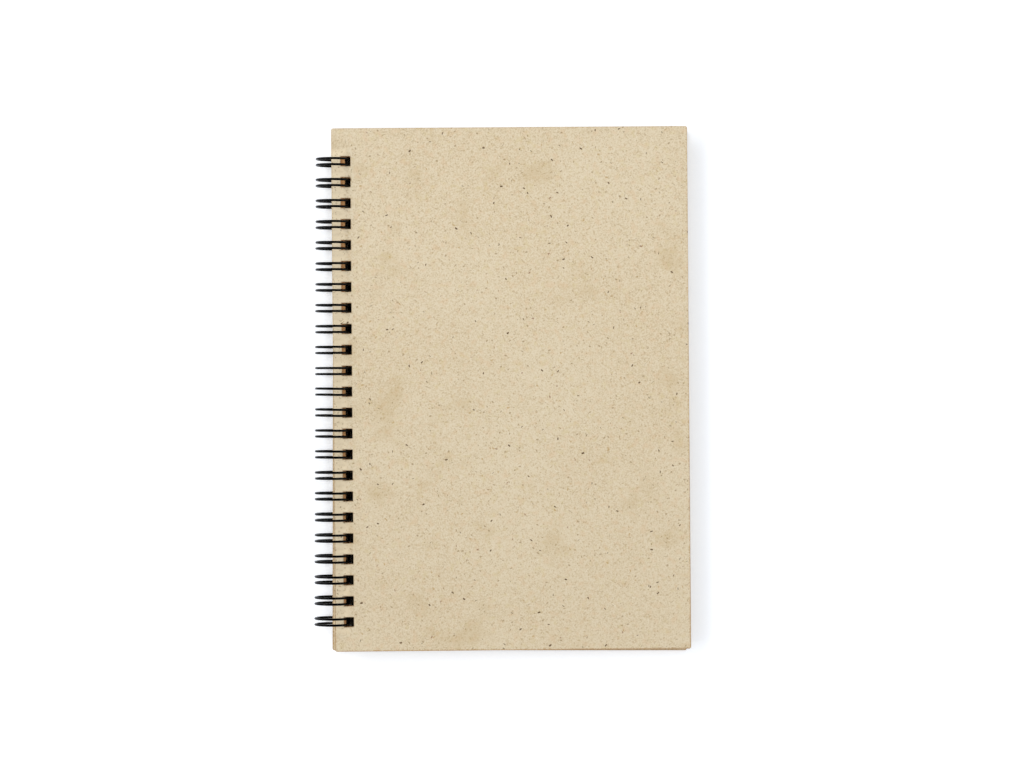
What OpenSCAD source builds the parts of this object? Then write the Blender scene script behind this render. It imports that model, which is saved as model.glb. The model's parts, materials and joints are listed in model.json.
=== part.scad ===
// Wire-bound notebook: two board covers and a block of plain sheets on a twin-loop wire.
// X runs from the wire to the fore edge, Y along the wire, Z up from the table.

/* [Covers] */
// Width of a cover, from its wire edge to its fore edge
cover_w = 144; // [110:1:200]
// Height of a cover, along the wire
cover_h = 211.5; // [150:0.5:290]
// Thickness of the board
cover_t = 1.3; // [0.8:0.1:2]
// Radius of the covers' corners
corner_r = 1.2; // [0.3:0.1:8]

/* [Pages] */
// Thickness of the block of sheets
pages_t = 5.8; // [3:0.1:9]
// How far the covers reach past the sheets
overhang = 1.5; // [0.5:0.1:4]
// Radius of the sheets' corners
page_corner_r = 0.6; // [0.2:0.1:6]
// Length over which the lowest sheets come down from the wire's seam
ramp_l = 30; // [10:1:60]

/* [Twin-loop wire] */
// Diameter of the wire
wire_d = 0.9; // [0.7:0.05:1.1]
// Room inside the loops beyond the thickness of the closed book
ring_play = 4.1; // [3.8:0.1:5]
// Distance from one loop to the next
loop_pitch = 8.467; // [8:0.001:9.5]
// Distance between the two wires of a loop, centre to centre
pair_gap = 2.45; // [2.1:0.05:2.6]
// Inner bend where a loop turns into the seam wire, on the wire's centre line
bend_r = 1; // [0.8:0.05:1.2]
// Least distance from the end of the sheets to the first loop
end_margin = 8; // [6:0.5:12]
// How far the row of loops sits from the middle of the covers
loops_shift = -0.7; // [-1.5:0.1:1.5]

/* [Holes] */
// Side of a square hole
hole = 4; // [3.8:0.1:4.4]
// Board left between a hole and the cover's wire edge
cover_web = 3.7; // [3:0.1:5]
// Paper left between a hole and the sheets' wire edge
page_web = 3.5; // [2.8:0.1:3.6]

/* [How the loose pieces lie] */
// How far the closed book hangs below the loops' centre line
stack_drop = 0.7; // [0.5:0.05:0.8]
// How far the sheets have slid away from the wire
page_slide = 1; // [0.8:0.05:1.1]
// How far the back cover has slid away from the wire
back_slide = 0.55; // [0:0.05:0.6]
// Turn of the front cover on the wire, in degrees
front_skew = 0.6; // [0:0.05:0.65]
// Turn of the sheets on the wire, in degrees
page_skew = 0.3; // [0:0.05:0.35]
// Turn of the back cover on the wire, in degrees
back_skew = 0.1; // [0:0.05:0.15]

/* [Hidden] */
$fn = 48;

// Clearance of the seam wire from the board below it and the sheets above it
seam_clear = 0.15;
// Straight wire between a loop's arc and the bends at its two ends
lead = 0.3;
// Gap between a loop's closed tip and the seam wire that it meets
tip_gap = 0.3;
// Straight wire left past the last bend at each end of the binding
end_stub = 0.8;
// Flat stretch of the lifted sheets past the loops
lift_flat = 2.4;
// Length that a cutter reaches past what it cuts
over = 1;

board = "#d6c6a7";
paper = "#e9dcc0";
black_wire = "#17181a";

// The closed book, measured from the loops' centre line
book_t = 2 * cover_t + pages_t;
back_low = -book_t / 2 - stack_drop;
page_low = back_low + cover_t;
page_top = page_low + pages_t;
front_top = page_top + cover_t;

wire_r = wire_d / 2;
ring_in = (book_t + ring_play) / 2;
ring_mid = ring_in + wire_r;
ring_out = ring_in + wire_d;

page_h = cover_h - 2 * overhang;
loops = floor((page_h - 2 * end_margin) / loop_pitch) + 1;
function loop_y(i) = (i - (loops - 1) / 2) * loop_pitch + loops_shift;

// Middle of the stretch that the loops cross between two levels
function crossing(low, high) =
    let (far = max(abs(low), abs(high)), near = low * high < 0 ? 0 : min(abs(low), abs(high)))
    (sqrt(pow(ring_in, 2) - pow(far, 2)) + sqrt(pow(ring_out, 2) - pow(near, 2))) / 2;

front_hole_x = crossing(page_top, front_top);
page_hole_x = crossing(page_low, page_top) + page_slide;
back_hole_x = crossing(back_low, page_low) + back_slide;

front_x = front_hole_x - hole / 2 - cover_web;
page_x = page_hole_x - hole / 2 - page_web;
back_x = back_hole_x - hole / 2 - cover_web;
page_w = cover_w - overhang + min(front_x, back_x) - page_x;

// The seam wire lies between the back cover and the sheets
seam_z = page_low + seam_clear + wire_r;
lift = wire_d + 2 * seam_clear;
seam_r = sqrt(pow(ring_mid, 2) + pow(lead + bend_r, 2));
seam_angle = asin(seam_z / seam_r);
finger_start = seam_angle - atan((lead + bend_r) / ring_mid);
seam_l = loop_pitch - pair_gap - 2 * bend_r;
finger_end = seam_angle + asin(wire_r / seam_r) + tip_gap / ring_mid * 180 / PI
    + atan((lead + pair_gap / 2 + wire_r) / ring_mid);

// The book leans so that the loops and the back cover's fore edge both touch the table
fore_r = sqrt(pow(back_x + cover_w, 2) + pow(back_low, 2));
lean = asin(ring_out / fore_r) - atan(-back_low / (back_x + cover_w));

// Reach of a turned sheet, for the middle of the whole book
function far_x(x, skew) =
    (x + cover_w - corner_r) * cos(skew) + (cover_h / 2 - corner_r) * sin(skew) + corner_r;
function far_y(x, skew) =
    (x + cover_w - corner_r) * sin(skew) + (cover_h / 2 - corner_r) * cos(skew) + corner_r;
function near_y(x, skew) =
    (x + corner_r) * sin(skew) - (cover_h / 2 - corner_r) * cos(skew) - corner_r;
fore_x = far_x(front_x, front_skew) * cos(lean) + front_top * sin(lean);
mid_x = (fore_x - ring_out) / 2;
mid_y = (far_y(front_x, front_skew) + min(near_y(front_x, front_skew), near_y(back_x, back_skew))) / 2;

// From the loops' centre line to the book's place on the table
module on_table() {
    translate([-mid_x, -mid_y, ring_out])
        rotate([0, lean, 0])
            children();
}

// A sheet's outline from its wire edge, centred along the wire
module outline(w, h, r) {
    union() {
        translate([0, r - h / 2])
            square([w, h - 2 * r]);
        translate([r, -h / 2])
            square([w - 2 * r, h]);
        for (x = [r, w - r], y = [r - h / 2, h / 2 - r])
            translate([x, y])
                circle(r);
    }
}

// One square hole for each loop, through a sheet of the given thickness
module holes(x, low, t) {
    for (i = [0 : loops - 1])
        translate([x - hole / 2, loop_y(i) - hole / 2, low - over])
            cube([hole, hole, t + 2 * over]);
}

module cover(x, hole_x, low) {
    difference() {
        translate([x, 0, low])
            linear_extrude(cover_t)
                outline(cover_w, cover_h, corner_r);
        holes(hole_x, low, cover_t);
    }
}

module front_cover() {
    color(board)
        on_table()
            rotate([0, 0, front_skew])
                cover(front_x, front_hole_x, page_top);
}

module back_cover() {
    color(board)
        on_table()
            rotate([0, 0, back_skew])
                cover(back_x, back_hole_x, back_low);
}

// Section of the sheets, whose underside lifts over the seam wire
module page_section() {
    polygon([
        [page_x, page_low + lift],
        [ring_out + lift_flat, page_low + lift],
        [ring_out + lift_flat + ramp_l, page_low],
        [page_x + page_w, page_low],
        [page_x + page_w, page_top],
        [page_x, page_top]
    ]);
}

module page_block() {
    color(paper)
        on_table()
            rotate([0, 0, page_skew])
                difference() {
                    intersection() {
                        rotate([90, 0, 0])
                            linear_extrude(page_h, center = true)
                                page_section();
                        translate([page_x, 0, page_low - over])
                            linear_extrude(pages_t + 2 * over)
                                outline(page_w, page_h, page_corner_r);
                    }
                    holes(page_hole_x, page_low, pages_t);
                }
}

// Bent round wire: an arc of the given radius about Z, from X towards Y
module arc(r, angle) {
    rotate_extrude(angle = angle)
        translate([r, 0])
            circle(wire_r);
}

// Places its children at an angle on the loops' circle
module on_ring(angle) {
    rotate([0, -angle, 0])
        translate([ring_mid, 0, 0])
            children();
}

// The side of the loops' circle that lies past the given angle
module side_past(angle, turn) {
    reach = ring_out + over;
    rotate([0, -angle, 0])
        translate([0, -reach / 2, turn > 0 ? 0 : -reach])
            cube(reach);
}

// One round wire of a loop: a full ring, open between the seam and the closed tip
module hoop() {
    difference() {
        rotate([90, 0, 0])
            arc(ring_mid, 360);
        intersection() {
            side_past(finger_start, 1);
            side_past(finger_end, -1);
        }
    }
}

// The closed tip that joins the two wires of a loop
module tip() {
    on_ring(finger_end) {
        for (y = [-pair_gap / 2, pair_gap / 2])
            translate([0, y, -lead])
                cylinder(h = lead, r = wire_r);
        translate([0, 0, -lead])
            rotate([0, 90, 0])
                rotate([0, 0, -90])
                    arc(pair_gap / 2, 180);
    }
}

// Short straight and quarter bend from a loop into the seam wire
module bend() {
    on_ring(finger_start) {
        translate([0, pair_gap / 2, 0])
            cylinder(h = lead, r = wire_r);
        translate([0, pair_gap / 2 + bend_r, lead])
            rotate([0, 90, 0])
                rotate([0, 0, 180])
                    arc(bend_r, 90);
    }
}

// Straight seam wire that follows a bend
module seam(l) {
    on_ring(finger_start)
        translate([0, pair_gap / 2 + bend_r, lead + bend_r])
            rotate([-90, 0, 0])
                cylinder(h = l, r = wire_r);
}

module loop() {
    for (y = [-pair_gap / 2, pair_gap / 2])
        translate([0, y, 0])
            hoop();
    tip();
    bend();
    mirror([0, 1, 0])
        bend();
}

module twin_loop_wire() {
    color(black_wire)
        on_table() {
            for (i = [0 : loops - 1])
                translate([0, loop_y(i), 0]) {
                    loop();
                    seam(i < loops - 1 ? seam_l : end_stub);
                }
            translate([0, loop_y(0), 0])
                mirror([0, 1, 0])
                    seam(end_stub);
        }
}

front_cover();
page_block();
back_cover();
twin_loop_wire();
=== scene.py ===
"""Closed wire-bound notebook on a white table, seen from straight above.

Every size is in metres. The pieces are modelled about the centre line of the wire's loops,
with X towards the fore edge, Y along the wire and Z up, and are then laid on the table.
"""
import json
import math
import random

import bmesh
import bpy
from mathutils import Euler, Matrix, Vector


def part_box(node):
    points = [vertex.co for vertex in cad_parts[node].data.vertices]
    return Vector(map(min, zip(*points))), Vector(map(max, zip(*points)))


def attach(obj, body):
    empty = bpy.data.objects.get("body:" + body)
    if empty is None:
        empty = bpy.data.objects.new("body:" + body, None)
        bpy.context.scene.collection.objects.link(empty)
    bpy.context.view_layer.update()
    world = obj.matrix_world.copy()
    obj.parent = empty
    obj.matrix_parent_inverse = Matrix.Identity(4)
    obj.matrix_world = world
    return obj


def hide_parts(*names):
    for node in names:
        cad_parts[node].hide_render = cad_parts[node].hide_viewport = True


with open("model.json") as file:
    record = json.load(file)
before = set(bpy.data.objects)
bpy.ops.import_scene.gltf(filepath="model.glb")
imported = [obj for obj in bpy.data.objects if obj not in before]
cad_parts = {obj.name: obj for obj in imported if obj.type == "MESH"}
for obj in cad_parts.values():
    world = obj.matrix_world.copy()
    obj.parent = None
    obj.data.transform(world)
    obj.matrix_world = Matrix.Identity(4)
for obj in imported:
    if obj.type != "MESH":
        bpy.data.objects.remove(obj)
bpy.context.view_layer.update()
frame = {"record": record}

MM = 0.001
TURN = 2 * math.pi

# Room left beyond a cut or a row of points, so that none of them lies on the limit
margin = 1 * MM

# Board covers
cover_w = 144 * MM
cover_h = 211.5 * MM
cover_t = 1.3 * MM
corner_r = 0.8 * MM
corner_steps = 8
arris_w = 0.14 * MM
arris_steps = 2
arris_above = math.radians(50)
smooth_below = math.radians(15)

# Block of sheets
pages_t = 5.8 * MM
sheet_count = 58
sheet_fill = 0.88
overhang = 1.5 * MM
page_corner_r = 0.6 * MM
page_corner_steps = 3
ramp_l = 30 * MM
lift_flat = 2.4 * MM
jog = 0.12 * MM
jog_seed = 23

# Twin-loop wire
wire_r = 0.45 * MM
coat_r = 0.48 * MM
ring_in = 6.25 * MM
loop_count = 23
loop_pitch = 8.467 * MM
loops_shift = -0.7 * MM
pair_gap = 2.45 * MM
bend_r = 1 * MM
lead = 0.3 * MM
tip_gap = 0.3 * MM
end_stub = 0.8 * MM
seam_clear = 0.15 * MM
wire_drawn_in = 0.9985
loop_room = 0.15 * MM
tilt_share = 0.7
splay_seed = 7
wire_sides = 14
hoop_steps = 60
bend_steps = 6
nose_steps = 12
weld = 0.12 * MM
wire_smooth_below = math.radians(40)

# Punched holes
hole = 4 * MM
hole_corner_r = 0.25 * MM
hole_corner_steps = 3
front_hole_x = 5.9906 * MM
page_hole_x = 7.1295 * MM
back_hole_x = 5.5787 * MM
cover_web = 3.7 * MM
page_web = 3.5 * MM

# How the loose pieces lie, in degrees
front_skew = 0.6
page_skew = 0.3
back_skew = 0.1
stack_drop = 0.7 * MM

book_t = 2 * cover_t + pages_t
back_low = -book_t / 2 - stack_drop
page_low = back_low + cover_t
page_top = page_low + pages_t
ring_mid = ring_in + wire_r
ring_out = ring_in + 2 * wire_r
front_x = front_hole_x - hole / 2 - cover_web
page_x = page_hole_x - hole / 2 - page_web
back_x = back_hole_x - hole / 2 - cover_web
page_h = cover_h - 2 * overhang
page_w = cover_w - overhang + min(front_x, back_x) - page_x
lift = 2 * wire_r + 2 * seam_clear

# The book leans until the loops and the back cover's fore edge both touch the table
fore_r = math.hypot(back_x + cover_w, back_low)
lean = math.asin(ring_out / fore_r) - math.atan(-back_low / (back_x + cover_w))
hinge = Vector(frame["record"]["behaviour"]["joints"][0]["pos_m"])
wire_low, wire_high = (Vector(corner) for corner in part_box("twin_loop_wire"))
hinge.y = (wire_low.y + wire_high.y) / 2 - loops_shift


def loop_y(i):
    """Where loop i and its holes stand along the wire."""
    return (i - (loop_count - 1) / 2) * loop_pitch + loops_shift


def deselect():
    bpy.ops.object.select_all(action="DESELECT")


def pick(*objects):
    """Selects these objects alone, the last one active."""
    deselect()
    for obj in objects:
        obj.select_set(True)
    bpy.context.view_layer.objects.active = objects[-1]


def name_piece(name):
    """Names the active piece and its mesh."""
    piece = bpy.context.object
    piece.name = name
    piece.data.name = name
    return piece


def keep_place():
    """Writes the selected piece's place, turn and size into its mesh."""
    bpy.ops.object.transform_apply(location=True, rotation=True, scale=True)


def apply_modifier(piece, kind, **settings):
    """Adds a modifier with these settings and applies it."""
    pick(piece)
    modifier = piece.modifiers.new(kind.lower(), kind)
    for key, value in settings.items():
        setattr(modifier, key, value)
    bpy.ops.object.modifier_apply(modifier=modifier.name)


def select_edges(test):
    """In edit mode, selects the edges that pass the test."""
    mesh = bpy.context.edit_object.data
    bpy.ops.mesh.select_mode(type="EDGE")
    bpy.ops.mesh.select_all(action="DESELECT")
    work = bmesh.from_edit_mesh(mesh)
    for edge in work.edges:
        edge.select_set(test(*(v.co for v in edge.verts)))
    bmesh.update_edit_mesh(mesh)


def select_points(test):
    """In edit mode, selects the points that pass the test, with the edges between them."""
    mesh = bpy.context.edit_object.data
    bpy.ops.mesh.select_mode(type="VERT")
    bpy.ops.mesh.select_all(action="DESELECT")
    work = bmesh.from_edit_mesh(mesh)
    for point in work.verts:
        point.select_set(test(point.co))
    work.select_flush(True)
    bmesh.update_edit_mesh(mesh)


def upright(a, b):
    """Whether the edge between two points stands up."""
    return abs(a.z - b.z) > 0.5 * abs(a.x - b.x) + 0.5 * abs(a.y - b.y)


def block(name, low, high):
    """A square-edged block between two corners, its place in its mesh."""
    middle = [(a + b) / 2 for a, b in zip(low, high)]
    size = [b - a for a, b in zip(low, high)]
    deselect()
    bpy.ops.mesh.primitive_cube_add(size=1, location=middle, scale=size)
    piece = name_piece(name)
    keep_place()
    return piece


def round_corners(piece, radius, steps):
    """Rounds the standing edges of a piece."""
    pick(piece)
    bpy.ops.object.mode_set(mode="EDIT")
    select_edges(upright)
    bpy.ops.mesh.bevel(offset=radius, segments=steps, affect="EDGES")
    bpy.ops.object.mode_set(mode="OBJECT")


def punch(sheet, hole_x, low, thickness):
    """Cuts the row of square holes, one for each loop."""
    first = loop_y(0)
    die = block(
        "die",
        (hole_x - hole / 2, first - hole / 2, low - margin),
        (hole_x + hole / 2, first + hole / 2, low + thickness + margin),
    )
    round_corners(die, hole_corner_r, hole_corner_steps)
    apply_modifier(
        die,
        "ARRAY",
        count=loop_count,
        use_relative_offset=False,
        use_constant_offset=True,
        constant_offset_displace=(0, loop_pitch, 0),
    )
    apply_modifier(sheet, "BOOLEAN", operation="DIFFERENCE", solver="EXACT", object=die)
    bpy.data.objects.remove(die)


def lay_on_table(piece, skew=0):
    """Turns a piece on the wire by its skew, leans it with the book and sets it down."""
    pick(piece)
    piece.rotation_euler = (0, 0, math.radians(skew))
    keep_place()
    piece.rotation_euler = (0, lean, 0)
    piece.location = hinge
    keep_place()


def board_cover(name, body, node, x, hole_x, low, skew):
    """Thick recycled board, cut square and punched, with its arrises a little crushed."""
    cover = block(name, (x, -cover_h / 2, low), (x + cover_w, cover_h / 2, low + cover_t))
    round_corners(cover, corner_r, corner_steps)
    punch(cover, hole_x, low, cover_t)
    apply_modifier(
        cover,
        "BEVEL",
        limit_method="ANGLE",
        angle_limit=arris_above,
        width=arris_w,
        segments=arris_steps,
    )
    lay_on_table(cover, skew)
    bpy.ops.object.shade_smooth_by_angle(angle=smooth_below)
    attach(cover, body)
    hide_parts(node)
    return cover


def sheet_stack():
    """The sheets one by one, jogged a little out of line, pinched together at the wire."""
    pitch = pages_t / sheet_count
    thick = pitch * sheet_fill
    first = block(
        "sheets",
        (page_x, -page_h / 2, page_low),
        (page_x + page_w, page_h / 2, page_low + thick),
    )
    round_corners(first, page_corner_r, page_corner_steps)
    punch(first, page_hole_x, page_low, thick)
    flat_end = ring_out + lift_flat
    ramp_end = flat_end + ramp_l
    pick(first)
    bpy.ops.object.mode_set(mode="EDIT")
    for x in (flat_end, ramp_end):
        bpy.ops.mesh.select_all(action="SELECT")
        bpy.ops.mesh.bisect(plane_co=(x, 0, 0), plane_no=(1, 0, 0))
    bpy.ops.object.mode_set(mode="OBJECT")
    hand = random.Random(jog_seed)
    sheets = [first]
    for i in range(1, sheet_count):
        sheet = first.copy()
        sheet.data = first.data.copy()
        bpy.context.collection.objects.link(sheet)
        sheet.location = (hand.uniform(-jog, jog), hand.uniform(-jog, jog), i * pitch)
        sheets.append(sheet)
    pick(*reversed(sheets))
    bpy.ops.object.join()
    stack = name_piece("sheets")
    keep_place()
    bpy.ops.object.mode_set(mode="EDIT")
    select_points(lambda p: p.x < flat_end + margin)
    squeeze = 1 - lift / pages_t
    bpy.ops.transform.resize(value=(1, 1, squeeze), center_override=(0, 0, page_top))
    bpy.ops.object.mode_set(mode="OBJECT")
    lay_on_table(stack, page_skew)
    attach(stack, "binding")
    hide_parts("page_block")
    return stack


# Twin-loop wire: angles on the loops' circle, from X towards Z
seam_z = page_low + seam_clear + wire_r
seam_r = math.hypot(ring_mid, lead + bend_r)
seam_angle = math.asin(seam_z / seam_r)
finger_start = seam_angle - math.atan((lead + bend_r) / ring_mid)
finger_end = (
    seam_angle + math.asin(wire_r / seam_r) + tip_gap / ring_mid
    + math.atan((lead + pair_gap / 2 + wire_r) / ring_mid)
)
seam_l = loop_pitch - pair_gap - 2 * bend_r
ALONG = Vector((0, 1, 0))


def outward(angle):
    """From the loops' centre line towards this angle."""
    return Vector((math.cos(angle), 0, math.sin(angle)))


def onward(angle):
    """Along the loops' circle at this angle, the way that the angle grows."""
    return Vector((-math.sin(angle), 0, math.cos(angle)))


def straight(move):
    """Carries the open end of the wire straight on."""
    bpy.ops.mesh.extrude_region_move(TRANSFORM_OT_translate={"value": move})


def bent(centre, axis, angle, steps):
    """Carries the open end of the wire round an axis, right-handed."""
    bpy.ops.mesh.spin(steps=steps, angle=-angle, center=centre, axis=axis)


def one_loop():
    """One twin loop from seam to seam, as a single bent tube."""
    start = outward(finger_start) * ring_mid
    end = outward(finger_end) * ring_mid
    rise = onward(finger_start)
    fall = -onward(finger_end)
    half = pair_gap / 2
    sweep = TURN + finger_start - finger_end
    begin = start + rise * (lead + bend_r) - ALONG * (half + bend_r + seam_l / 2)
    deselect()
    bpy.ops.mesh.primitive_circle_add(
        vertices=wire_sides, radius=coat_r, location=begin, rotation=(math.radians(90), 0, 0)
    )
    loop = name_piece("loop")
    keep_place()
    bpy.ops.object.mode_set(mode="EDIT")
    bpy.ops.mesh.select_all(action="SELECT")
    straight(ALONG * (seam_l / 2))
    bent(
        start + rise * lead - ALONG * (half + bend_r), outward(finger_start), -TURN / 4, bend_steps
    )
    straight(-rise * lead)
    bent((0, 0, 0), ALONG, sweep, hoop_steps)
    straight(fall * lead)
    bent(end + fall * lead, outward(finger_end), TURN / 2, nose_steps)
    straight(-fall * lead)
    bent((0, 0, 0), ALONG, -sweep, hoop_steps)
    straight(rise * lead)
    bent(
        start + rise * lead + ALONG * (half + bend_r), outward(finger_start), -TURN / 4, bend_steps
    )
    straight(ALONG * (seam_l / 2))
    bpy.ops.object.mode_set(mode="OBJECT")
    return loop


def wire_binding():
    """The loops copied along the seam, each as far out of true as its holes leave room for, and
    welded end to end."""
    first = one_loop()
    root = outward(seam_angle) * seam_r
    hand = random.Random(splay_seed)
    loops = []
    for i in range(loop_count):
        loop = first.copy()
        loop.data = first.data.copy()
        bpy.context.collection.objects.link(loop)
        pick(loop)
        drawn = abs(loop_y(i) - loops_shift) * (1 - wire_drawn_in)
        most = (loop_room - drawn) / (2 * ring_mid)
        for axis, share in (("Z", 1), ("X", tilt_share)):
            turn = hand.uniform(-most, most) * share
            bpy.ops.transform.rotate(value=turn, orient_axis=axis, center_override=root)
        bpy.ops.transform.translate(value=(0, loop_y(i), 0))
        loops.append(loop)
    bpy.data.objects.remove(first)
    pick(*loops)
    bpy.ops.object.join()
    wire = name_piece("wire")
    keep_place()
    bpy.ops.object.mode_set(mode="EDIT")
    bpy.ops.mesh.select_all(action="SELECT")
    bpy.ops.mesh.remove_doubles(threshold=weld)
    bpy.ops.transform.resize(value=(1, wire_drawn_in, 1), center_override=(0, loops_shift, 0))
    reach = pair_gap / 2 + bend_r + end_stub
    for limit, side in ((loop_y(0) - reach, -1), (loop_y(loop_count - 1) + reach, 1)):
        bpy.ops.mesh.select_all(action="SELECT")
        bpy.ops.mesh.bisect(
            plane_co=(0, limit, 0), plane_no=(0, side, 0), clear_outer=True, use_fill=True
        )
    bpy.ops.mesh.select_all(action="SELECT")
    bpy.ops.mesh.normals_make_consistent(inside=False)
    bpy.ops.object.mode_set(mode="OBJECT")
    lay_on_table(wire)
    bpy.ops.object.shade_smooth_by_angle(angle=wire_smooth_below)
    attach(wire, "binding")
    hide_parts("twin_loop_wire")
    return wire


front = board_cover(
    "front_board", "front", "front_cover", front_x, front_hole_x, page_top, front_skew
)
back = board_cover("back_board", "back", "back_cover", back_x, back_hole_x, back_low, back_skew)
sheets = sheet_stack()
wire = wire_binding()


# Materials

def linear(hex_colour):
    """An sRGB colour such as D8C8AB as linear RGBA."""
    parts = [int(hex_colour[i : i + 2], 16) / 255 for i in (0, 2, 4)]
    parts = [c / 12.92 if c <= 0.04045 else ((c + 0.055) / 1.055) ** 2.4 for c in parts]
    return (*parts, 1)


def node(owner, kind, inputs=None, **settings):
    """Adds a node. Each input is a link or a value; the settings are the node's own options."""
    tree = owner.node_tree
    new = tree.nodes.new("ShaderNode" + kind)
    for key, value in settings.items():
        setattr(new, key, value)
    for key, value in (inputs or {}).items():
        if isinstance(value, bpy.types.NodeSocket):
            tree.links.new(value, new.inputs[key])
        else:
            new.inputs[key].default_value = value
    return new


def new_material(name):
    """A material with no nodes yet."""
    material = bpy.data.materials.new(name)
    material.use_nodes = True
    material.node_tree.nodes.clear()
    return material


def finish_with(piece, material):
    """Gives a piece this material alone."""
    piece.data.materials.clear()
    piece.data.materials.append(material)


def own_place(material, skew):
    """Each piece's own flat frame: X across it from the loops' centre line, Y along the wire."""
    turn = Euler((0, -lean, -math.radians(skew)))
    shift = -(turn.to_matrix() @ hinge)
    where = node(material, "TexCoord")
    flat = node(
        material,
        "Mapping",
        {"Vector": where.outputs["Object"], "Rotation": turn, "Location": shift},
    )
    return where, flat.outputs[0]


def flecks(material, place, spacing, share, half_length, half_width):
    """Bits of fibre scattered through a sheet, as cover from 0 to 1. A share of the cells, each
    about a spacing wide, holds one bit: a capsule of this half length and half width."""
    cells = node(material, "TexVoronoi", {"Vector": place, "Scale": 1 / spacing})
    dice = node(material, "SeparateXYZ", {0: cells.outputs["Color"]})
    away = node(
        material, "VectorMath", {0: place, 1: cells.outputs["Position"]}, operation="SUBTRACT"
    )

    # Each bit has its own way, nearly flat in the sheet, and runs half a length to either side
    spread = node(
        material,
        "VectorMath",
        {0: cells.outputs["Color"], 1: (0.5, 0.5, 0.5)},
        operation="SUBTRACT",
    )
    flat = node(
        material, "VectorMath", {0: spread.outputs[0], 1: (1, 1, 0.2)}, operation="MULTIPLY"
    )
    way = node(material, "VectorMath", {0: flat.outputs[0]}, operation="NORMALIZE")
    along = node(
        material, "VectorMath", {0: away.outputs[0], 1: way.outputs[0]}, operation="DOT_PRODUCT"
    )
    held = node(
        material,
        "Clamp",
        {"Value": along.outputs["Value"], "Min": -half_length, "Max": half_length},
    )
    core = node(
        material, "VectorMath", {0: way.outputs[0], "Scale": held.outputs[0]}, operation="SCALE"
    )
    gap = node(
        material, "VectorMath", {0: away.outputs[0], 1: core.outputs[0]}, operation="DISTANCE"
    )

    # It has its own size too, from 0.45 to 1.55 of the width asked for
    size = node(material, "Math", {0: dice.outputs[0], 1: 1.1, 2: 0.45}, operation="MULTIPLY_ADD")
    fair = node(material, "Math", {0: gap.outputs["Value"], 1: size.outputs[0]}, operation="DIVIDE")
    body = node(
        material,
        "MapRange",
        {"Value": fair.outputs[0], "From Min": half_width, "From Max": half_width * 0.5},
        interpolation_type="SMOOTHSTEP",
    )

    # The cells' random colours, mixed afresh, draw which of them hold a bit
    draw = node(
        material,
        "VectorMath",
        {0: cells.outputs["Color"], 1: (371, 197, 533)},
        operation="DOT_PRODUCT",
    )
    lot = node(material, "Math", {0: draw.outputs["Value"]}, operation="FRACT")
    chosen = node(material, "Math", {0: lot.outputs[0], 1: share}, operation="LESS_THAN")
    return node(
        material, "Math", {0: body.outputs[0], 1: chosen.outputs[0]}, operation="MULTIPLY"
    ).outputs[0]


def tint(material, base, cover, colour, strength=1):
    """Lays a colour over the base where the cover is 1."""
    share = node(material, "Math", {0: cover, 1: strength}, operation="MULTIPLY")
    return node(
        material, "Mix", {0: share.outputs[0], 6: base, 7: linear(colour)}, data_type="RGBA"
    ).outputs[2]


def patches(material, place, size, low, high, detail=2, stretch=(1, 1, 1)):
    """Soft uneven patches about this size, as cover from 0 at the low level to 1 at the high."""
    spread = node(material, "VectorMath", {0: place, 1: stretch}, operation="MULTIPLY")
    noise = node(
        material, "TexNoise", {"Vector": spread.outputs[0], "Scale": 1 / size, "Detail": detail}
    )
    return node(
        material,
        "MapRange",
        {"Value": noise.outputs[0], "From Min": low, "From Max": high},
        interpolation_type="SMOOTHSTEP",
    ).outputs[0]


def near_holes(material, place, hole_x, full, none):
    """Cover round every square hole: 1 up to the distance full beyond its edge, and 0 from the
    distance none. The row's centre line is at hole_x, which may be set off from the holes."""
    own = node(material, "SeparateXYZ", {0: place})
    across = node(material, "Math", {0: own.outputs[0], 1: hole_x}, operation="SUBTRACT")
    across = node(material, "Math", {0: across.outputs[0]}, operation="ABSOLUTE")
    steps = node(material, "Math", {0: own.outputs[1], 1: loop_y(0)}, operation="SUBTRACT")
    steps = node(material, "Math", {0: steps.outputs[0], 1: loop_pitch}, operation="DIVIDE")
    nearest = node(material, "Math", {0: steps.outputs[0]}, operation="ROUND")
    nearest = node(
        material, "Clamp", {"Value": nearest.outputs[0], "Min": 0, "Max": loop_count - 1}
    )
    off = node(material, "Math", {0: steps.outputs[0], 1: nearest.outputs[0]}, operation="SUBTRACT")
    off = node(material, "Math", {0: off.outputs[0], 1: loop_pitch}, operation="MULTIPLY")
    off = node(material, "Math", {0: off.outputs[0]}, operation="ABSOLUTE")
    away = node(material, "Math", {0: across.outputs[0], 1: off.outputs[0]}, operation="MAXIMUM")
    return node(
        material,
        "MapRange",
        {"Value": away.outputs[0], "From Min": hole / 2 + none, "From Max": hole / 2 + full},
        interpolation_type="SMOOTHSTEP",
    ).outputs[0]


def cut_sides(material, where):
    """1 on the cut sides and 0 on the faces, from each surface's own direction in any pose."""
    facing = node(material, "SeparateXYZ", {0: where.outputs["Normal"]})
    level = node(material, "Math", {0: facing.outputs[2]}, operation="ABSOLUTE")
    return node(
        material,
        "MapRange",
        {"Value": level.outputs[0], "From Min": 0.6, "From Max": 0.25},
        interpolation_type="SMOOTHSTEP",
    ).outputs[0]


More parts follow.
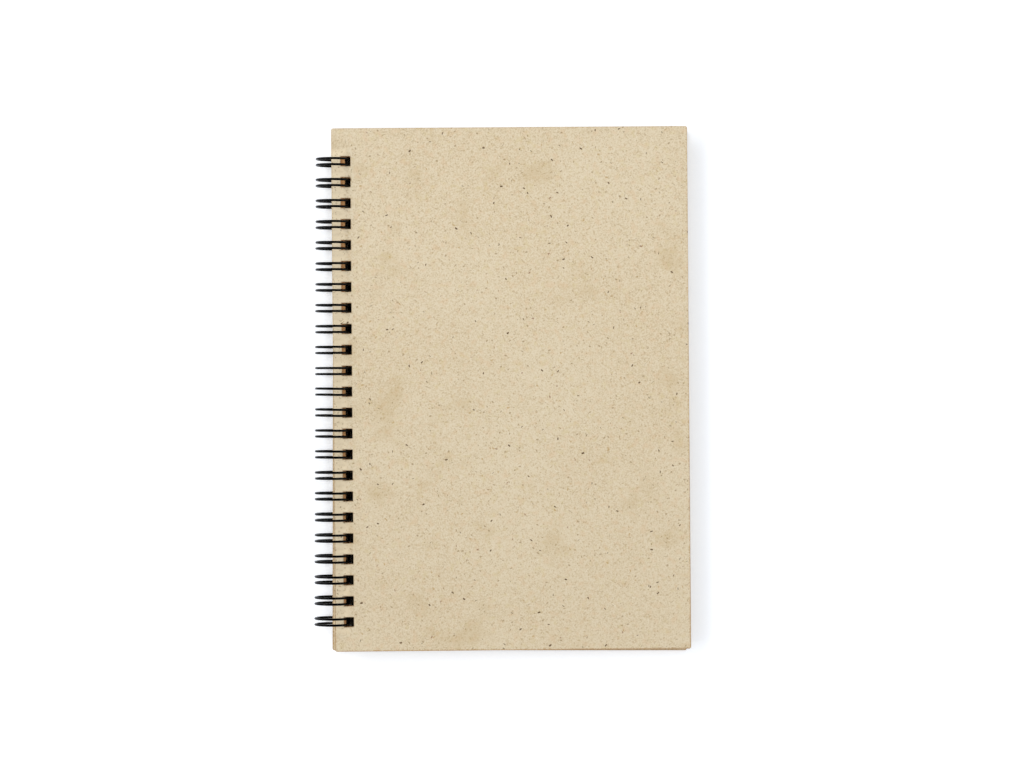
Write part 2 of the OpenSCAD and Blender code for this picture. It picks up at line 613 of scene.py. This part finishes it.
def recycled_board(name, x, hole_x, skew, inner, rub_and_hole_shade):
    """Uncoated recycled board, couched wet in plies and calendered. The ground is an even straw
    tone, clouded where the pulp settled, and every square centimetre shows dark and ochre bits of
    the old print and bark. Cut edges are browner, with the plies drawn out as fine lines. Round
    the holes on the inner face, up (1) or down (-1), black is laid: on the front a faint rub from
    the wire, on the back mostly painted shade that keeps the holes dark."""
    material = new_material(name)
    where, place = own_place(material, skew)
    wobble = node(material, "TexNoise", {"Vector": place, "Scale": 1 / (0.7 * MM), "Detail": 1})
    centred = node(
        material,
        "VectorMath",
        {0: wobble.outputs["Color"], 1: (0.5, 0.5, 0.5)},
        operation="SUBTRACT",
    )
    ragged = node(
        material,
        "VectorMath",
        {0: centred.outputs[0], 1: (0.5 * MM, 0.5 * MM, 0.2 * MM), 2: place},
        operation="MULTIPLY_ADD",
    ).outputs[0]

    # Ground: the pulp's own clouds and grain
    grain = node(
        material, "TexNoise", {"Vector": place, "Scale": 1 / (0.55 * MM), "Detail": 3}
    ).outputs[0]
    raised = node(
        material,
        "MapRange",
        {"Value": grain, "From Min": 0.4, "From Max": 0.65},
        interpolation_type="SMOOTHSTEP",
    )
    sunken = node(
        material,
        "MapRange",
        {"Value": grain, "From Min": 0.46, "From Max": 0.3},
        interpolation_type="SMOOTHSTEP",
    )
    clouds = patches(material, place, 55 * MM, 0.3, 0.7, 1)
    colour = tint(material, linear("DBC9A8"), clouds, "E0D0B1")
    settled = patches(material, place, 6 * MM, 0.35, 0.75)
    colour = tint(material, colour, settled, "D2BF9D", 0.3)
    colour = tint(material, colour, raised.outputs[0], "EBDEC4", 0.7)
    colour = tint(material, colour, sunken.outputs[0], "BBA57E", 0.45)
    rosy = patches(material, place, 3.1 * MM, 0.5, 0.75)
    colour = tint(material, colour, rosy, "DDB78C", 0.28)
    yellow = patches(material, ragged, 2.3 * MM, 0.55, 0.75)
    colour = tint(material, colour, yellow, "D6C48C", 0.3)
    stained = patches(material, place, 16 * MM, 0.56, 0.75, 3)
    colour = tint(material, colour, stained, "C8AF80", 0.38)

    # A strip of painted light under the loops, paling the board where the loops cast their shade,
    # a faint greying towards the foot and a faint paling towards the fore edge
    painted_light_under_loops = near_holes(material, place, hole_x - 4.6 * MM, 0.6 * MM, 3.9 * MM)
    colour = tint(material, colour, painted_light_under_loops, "FFEDCB", 1)
    own = node(material, "SeparateXYZ", {0: place})
    foot = node(
        material, "MapRange", {"Value": own.outputs[1], "From Min": 60 * MM, "From Max": -90 * MM}
    )
    colour = tint(material, colour, foot.outputs[0], "A8977A", 0.13)
    fore = node(
        material, "MapRange", {"Value": own.outputs[0], "From Min": -50 * MM, "From Max": 76 * MM}
    )
    colour = tint(material, colour, fore.outputs[0], "FAEBCA", 0.06)

    # Bits of old print, bark and fibre
    dense = flecks(material, ragged, 1.15 * MM, 0.75, 0.22 * MM, 0.26 * MM)
    colour = tint(material, colour, dense, "B59C73", 0.45)
    pale = flecks(material, ragged, 2.1 * MM, 0.7, 0.9 * MM, 0.12 * MM)
    colour = tint(material, colour, pale, "EFE4CB", 0.6)
    fibre = flecks(material, ragged, 2.4 * MM, 0.5, 0.8 * MM, 0.11 * MM)
    colour = tint(material, colour, fibre, "9C8660", 0.6)
    brown = flecks(material, ragged, 1.8 * MM, 0.35, 0.2 * MM, 0.27 * MM)
    colour = tint(material, colour, brown, "94784E", 0.6)
    ochre = flecks(material, ragged, 3.1 * MM, 0.3, 0.3 * MM, 0.3 * MM)
    colour = tint(material, colour, ochre, "B5904F", 0.55)
    rust = flecks(material, ragged, 3.7 * MM, 0.2, 0.3 * MM, 0.28 * MM)
    colour = tint(material, colour, rust, "8E6048", 0.7)
    dark = flecks(material, ragged, 2.3 * MM, 0.22, 0.3 * MM, 0.26 * MM)
    colour = tint(material, colour, dark, "5F4526", 0.95)

    # Cut sides, with the plies as lines
    side = cut_sides(material, where)
    plies = patches(material, place, 9 * MM, 0.35, 0.65, 3, (1, 1, 60))
    edge_tone = tint(material, linear("CFB78D"), plies, "DDCAA4")
    colour = node(material, "Mix", {0: side, 6: colour, 7: edge_tone}, data_type="RGBA").outputs[2]

    # Outline darkened brown by wear and by painted shade along the arrises, most at the foot of the
    # book, and the crushed rims of the holes
    across = node(material, "Math", {0: own.outputs[0], 1: x + cover_w / 2}, operation="SUBTRACT")
    across = node(material, "Math", {0: across.outputs[0]}, operation="ABSOLUTE")
    across = node(material, "Math", {0: cover_w / 2, 1: across.outputs[0]}, operation="SUBTRACT")
    along = node(material, "Math", {0: own.outputs[1]}, operation="ABSOLUTE")
    along = node(material, "Math", {0: cover_h / 2, 1: along.outputs[0]}, operation="SUBTRACT")
    inset = node(material, "Math", {0: across.outputs[0], 1: along.outputs[0]}, operation="MINIMUM")
    uneven = node(
        material, "Math", {0: grain, 1: 0.9 * MM, 2: inset.outputs[0]}, operation="MULTIPLY_ADD"
    )
    rubbed_and_shaded_edge = node(
        material,
        "MapRange",
        {"Value": uneven.outputs[0], "From Min": 1.1 * MM, "From Max": 0.6 * MM},
        interpolation_type="SMOOTHSTEP",
    )
    more_at_foot = node(
        material,
        "MapRange",
        {
            "Value": own.outputs[1],
            "From Min": 40 * MM,
            "From Max": -95 * MM,
            "To Min": 0.25,
            "To Max": 0.75,
        },
    )
    worn_and_shaded_rim = node(
        material, "Math", {0: rubbed_and_shaded_edge.outputs[0], 1: more_at_foot.outputs[0]}, operation="MULTIPLY"
    )
    # The brown line round the outline is partly wear and partly painted shade of the arrises
    colour = tint(material, colour, worn_and_shaded_rim.outputs[0], "B08A5E")
    crushed = near_holes(material, place, hole_x, 0.1 * MM, 0.4 * MM)
    colour = tint(material, colour, crushed, "A98A62", 0.35)
    facing = node(material, "SeparateXYZ", {0: where.outputs["Normal"]})
    inward = node(material, "Math", {0: facing.outputs[2], 1: inner}, operation="MULTIPLY")
    inside = node(material, "Math", {0: inward.outputs[0], 1: 0.5}, operation="GREATER_THAN")
    # Black round the holes on the inner face: a faint rub from the wire, and on the back board
    # mostly painted shade in the holes
    black_rub_and_hole_shade = near_holes(material, place, hole_x, 1.1 * MM, 1.9 * MM)
    black_rub_and_hole_shade = node(material, "Math", {0: black_rub_and_hole_shade, 1: inside.outputs[0]}, operation="MULTIPLY")
    colour = tint(material, colour, black_rub_and_hole_shade.outputs[0], "15110D", rub_and_hole_shade)

    height = node(material, "Math", {0: dense, 1: -0.35, 2: grain}, operation="MULTIPLY_ADD")
    height = node(
        material, "Math", {0: pale, 1: 0.35, 2: height.outputs[0]}, operation="MULTIPLY_ADD"
    )
    height = node(
        material, "Math", {0: plies, 1: side, 2: height.outputs[0]}, operation="MULTIPLY_ADD"
    )
    bump = node(
        material, "Bump", {"Height": height.outputs[0], "Strength": 0.6, "Distance": 0.05 * MM}
    )
    rough = node(
        material,
        "MapRange",
        {"Value": grain, "From Min": 0.3, "From Max": 0.7, "To Min": 0.93, "To Max": 0.8},
    )
    shader = node(
        material,
        "BsdfPrincipled",
        {
            "Base Color": colour,
            "Roughness": rough.outputs[0],
            "IOR": 1.45,
            "Normal": bump.outputs[0],
        },
    )
    node(material, "OutputMaterial", {"Surface": shader.outputs[0]})
    return material


def natural_paper():
    """Uncoated natural wood-free paper, cut in a ream. A warm even sheet with faint formation
    clouds and a few pulp flecks. At the wire side of the holes it is painted bright orange, as
    painted light standing in for warm light bounced into the holes. On the cut sides each sheet
    has its own tone."""
    material = new_material("natural_paper")
    where, place = own_place(material, page_skew)
    grain = node(
        material, "TexNoise", {"Vector": place, "Scale": 1 / (0.35 * MM), "Detail": 2}
    ).outputs[0]
    clouds = patches(material, place, 3.5 * MM, 0.3, 0.7, 3)
    colour = tint(material, linear("E6CDA3"), clouds, "ECD7B1")
    tooth = patches(material, place, 0.35 * MM, 0.3, 0.7)
    colour = tint(material, colour, tooth, "DDC397", 0.35)
    bits = flecks(material, place, 2.6 * MM, 0.4, 0.35 * MM, 0.12 * MM)
    colour = tint(material, colour, bits, "B08F62", 0.5)
    # Painted light: a bright orange at the wire side of each hole, standing in for warm bounce
    # light there
    painted_bounce_at_holes = near_holes(material, place, page_hole_x - 2 * MM, 0.1 * MM, 0.6 * MM)
    colour = tint(material, colour, painted_bounce_at_holes, "FFBA74", 0.8)

    # Cut sides, sheet by sheet, and painted shade darkening the punched holes' sides
    side = cut_sides(material, where)
    leaves = patches(material, place, 30 * MM, 0.3, 0.7, 2, (1, 1, 260))
    edge_tone = tint(material, linear("EADBB9"), leaves, "F6ECD4")
    # Painted shade: the sides of the punched holes darkened nearly to black-brown
    painted_shade_in_holes = near_holes(material, place, page_hole_x, 0.1 * MM, 0.3 * MM)
    edge_tone = tint(material, edge_tone, painted_shade_in_holes, "3E2C1C", 0.9)
    colour = node(material, "Mix", {0: side, 6: colour, 7: edge_tone}, data_type="RGBA").outputs[2]
    bump = node(material, "Bump", {"Height": grain, "Strength": 0.4, "Distance": 0.02 * MM})
    shader = node(
        material,
        "BsdfPrincipled",
        {"Base Color": colour, "Roughness": 0.82, "IOR": 1.45, "Normal": bump.outputs[0]},
    )
    node(material, "OutputMaterial", {"Surface": shader.outputs[0]})
    return material


def coated_steel_wire():
    """Mild steel wire with a black nylon coat, drawn through the melt before it was formed. The
    coat is smooth and satin: black where it faces an unlit ceiling and grey where it turns down
    and shows the table. It has a faint ripple and a few dull rubs."""
    material = new_material("nylon_coated_wire")
    place = node(material, "TexCoord").outputs["Object"]
    ripple = node(material, "TexNoise", {"Vector": place, "Scale": 1 / (0.6 * MM), "Detail": 2})
    rubs = patches(material, place, 2.2 * MM, 0.56, 0.7, 4)
    colour = tint(material, linear("010102"), rubs, "060708", 0.5)
    rough = node(material, "MapRange", {"Value": rubs, "To Min": 0.22, "To Max": 0.36})
    bump = node(
        material, "Bump", {"Height": ripple.outputs[0], "Strength": 0.35, "Distance": 0.02 * MM}
    )
    shader = node(
        material,
        "BsdfPrincipled",
        {
            "Base Color": colour,
            "Roughness": rough.outputs[0],
            "IOR": 1.5,
            "Specular IOR Level": 0.1,
            "Normal": bump.outputs[0],
        },
    )
    node(material, "OutputMaterial", {"Surface": shader.outputs[0]})
    return material


# The back board's strong black round its holes is mostly painted shade; the front's is a faint rub
front_material = recycled_board(
    "recycled_board_front", front_x, front_hole_x, front_skew, inner=-1, rub_and_hole_shade=0.15
)
back_material = recycled_board(
    "recycled_board_back", back_x, back_hole_x, back_skew, inner=1, rub_and_hole_shade=0.92
)
finish_with(front, front_material)
finish_with(back, back_material)
finish_with(sheets, natural_paper())
finish_with(wire, coated_steel_wire())

# Table, light and camera

table_size = 6
table_glow = 0.34
hole_shade_paint = 0.95

# The row of squares of painted shade on the table, where the camera sees it through the holes
seen_hole_x = -0.0631

# The patch of the table right under the book
under_low = (-0.0685, -0.105)
under_high = (0.0735, 0.104)

# White all round for the diffuse light, and what a gloss sees straight above
studio_light = 0.67
ceiling_light = 0.03

lamp_place = (-3.05, 1, 2.6)
lamp_length = 6.8
lamp_width = 1.5
lamp_watts = 113

camera_place = (0.0035, 0.0019, 1.3)
camera_lens = 112.2
camera_roll = math.radians(0.15)


def white_table(name, glow, dull):
    """Matt white laminate, lifted where it is seen to the paper white of a catalogue. It is a
    little cool, so that its shadow stays grey beside the warm board. Right under the holes it is
    darkened as much as dull asks, as painted shade that keeps the holes dark."""
    material = new_material(name)
    place = node(material, "TexCoord").outputs["Object"]
    # Painted shade: dark squares on the table under the holes, as dark as dull asks
    painted_shade_under_holes = near_holes(material, place, seen_hole_x, 0, 1.2 * MM)
    colour = tint(material, linear("F0F5FD"), painted_shade_under_holes, "4A453E", dull)
    path = node(material, "LightPath")
    seen = path.outputs["Is Camera Ray"]
    for kind in ("Is Glossy Ray", "Is Transmission Ray"):
        seen = node(
            material, "Math", {0: seen, 1: path.outputs[kind]}, operation="MAXIMUM"
        ).outputs[0]
    lit = node(material, "BsdfDiffuse", {"Color": colour})
    lifted = node(material, "Emission", {"Color": (1, 1, 1, 1), "Strength": glow})
    both = node(material, "AddShader", {0: lit.outputs[0], 1: lifted.outputs[0]})
    mix = node(material, "MixShader", {0: seen, 1: lit.outputs[0], 2: both.outputs[0]})
    node(material, "OutputMaterial", {"Surface": mix.outputs[0]})
    return material


deselect()
bpy.ops.mesh.primitive_plane_add(size=table_size, location=(0, 0, 0))
table = name_piece("table")

# The patch under the book stays unlifted, and has painted shade under the holes, so that they are
# dark
bpy.ops.object.mode_set(mode="EDIT")
for axis in (0, 1):
    for limit in (under_low[axis], under_high[axis]):
        point = [0, 0, 0]
        point[axis] = limit
        facing = [0, 0, 0]
        facing[axis] = 1
        bpy.ops.mesh.select_all(action="SELECT")
        bpy.ops.mesh.bisect(plane_co=point, plane_no=facing)
bpy.ops.object.mode_set(mode="OBJECT")
finish_with(table, white_table("white_table", glow=table_glow, dull=0))
table.data.materials.append(white_table("white_table_under_book", glow=0, dull=hole_shade_paint))
for face in table.data.polygons:
    inside = [low < c < high for low, c, high in zip(under_low, face.center, under_high)]
    face.material_index = int(all(inside))

# An even white studio. In a gloss it is white all round, up to a dark ceiling over the table
world = bpy.data.worlds.new("studio")
bpy.context.scene.world = world
world.use_nodes = True
world.node_tree.nodes.clear()
path = node(world, "LightPath")
way = node(world, "SeparateXYZ", {0: node(world, "TexCoord").outputs["Generated"]})
ceiling = node(
    world,
    "MapRange",
    {
        "Value": way.outputs[2],
        "From Min": 0.15,
        "From Max": 0.6,
        "To Min": 1,
        "To Max": ceiling_light,
    },
    interpolation_type="SMOOTHSTEP",
)
gloss = node(
    world,
    "Mix",
    {0: path.outputs["Is Glossy Ray"], 2: studio_light, 3: ceiling.outputs[0]},
    data_type="FLOAT",
)
seen = node(
    world,
    "Math",
    {0: path.outputs["Is Camera Ray"], 1: path.outputs["Is Transmission Ray"]},
    operation="MAXIMUM",
)
strength = node(world, "Mix", {0: seen.outputs[0], 2: gloss.outputs[0], 3: 1}, data_type="FLOAT")
sky = node(world, "Background", {"Color": (1, 1, 1, 1), "Strength": strength.outputs[0]})
node(world, "OutputWorld", {"Surface": sky.outputs[0]})


def soft_box(name, place, length, width, watts):
    """A long lamp aimed at the book, its length along the wire."""
    lamp = bpy.data.lights.new(name, "AREA")
    lamp.shape = "RECTANGLE"
    lamp.size = length
    lamp.size_y = width
    lamp.energy = watts
    obj = bpy.data.objects.new(name, lamp)
    bpy.context.collection.objects.link(obj)
    obj.location = place
    obj.rotation_euler = (-Vector(place)).to_track_quat("-Z", "Y").to_euler()


soft_box("key_box", lamp_place, lamp_length, lamp_width, lamp_watts)

camera = bpy.data.cameras.new("overhead")
camera.sensor_width = 36
camera.lens = camera_lens
eye = bpy.data.objects.new("overhead", camera)
bpy.context.collection.objects.link(eye)
eye.location = camera_place
eye.rotation_euler = (0, 0, camera_roll)
bpy.context.scene.camera = eye
bpy.context.scene.view_settings.view_transform = "Standard"
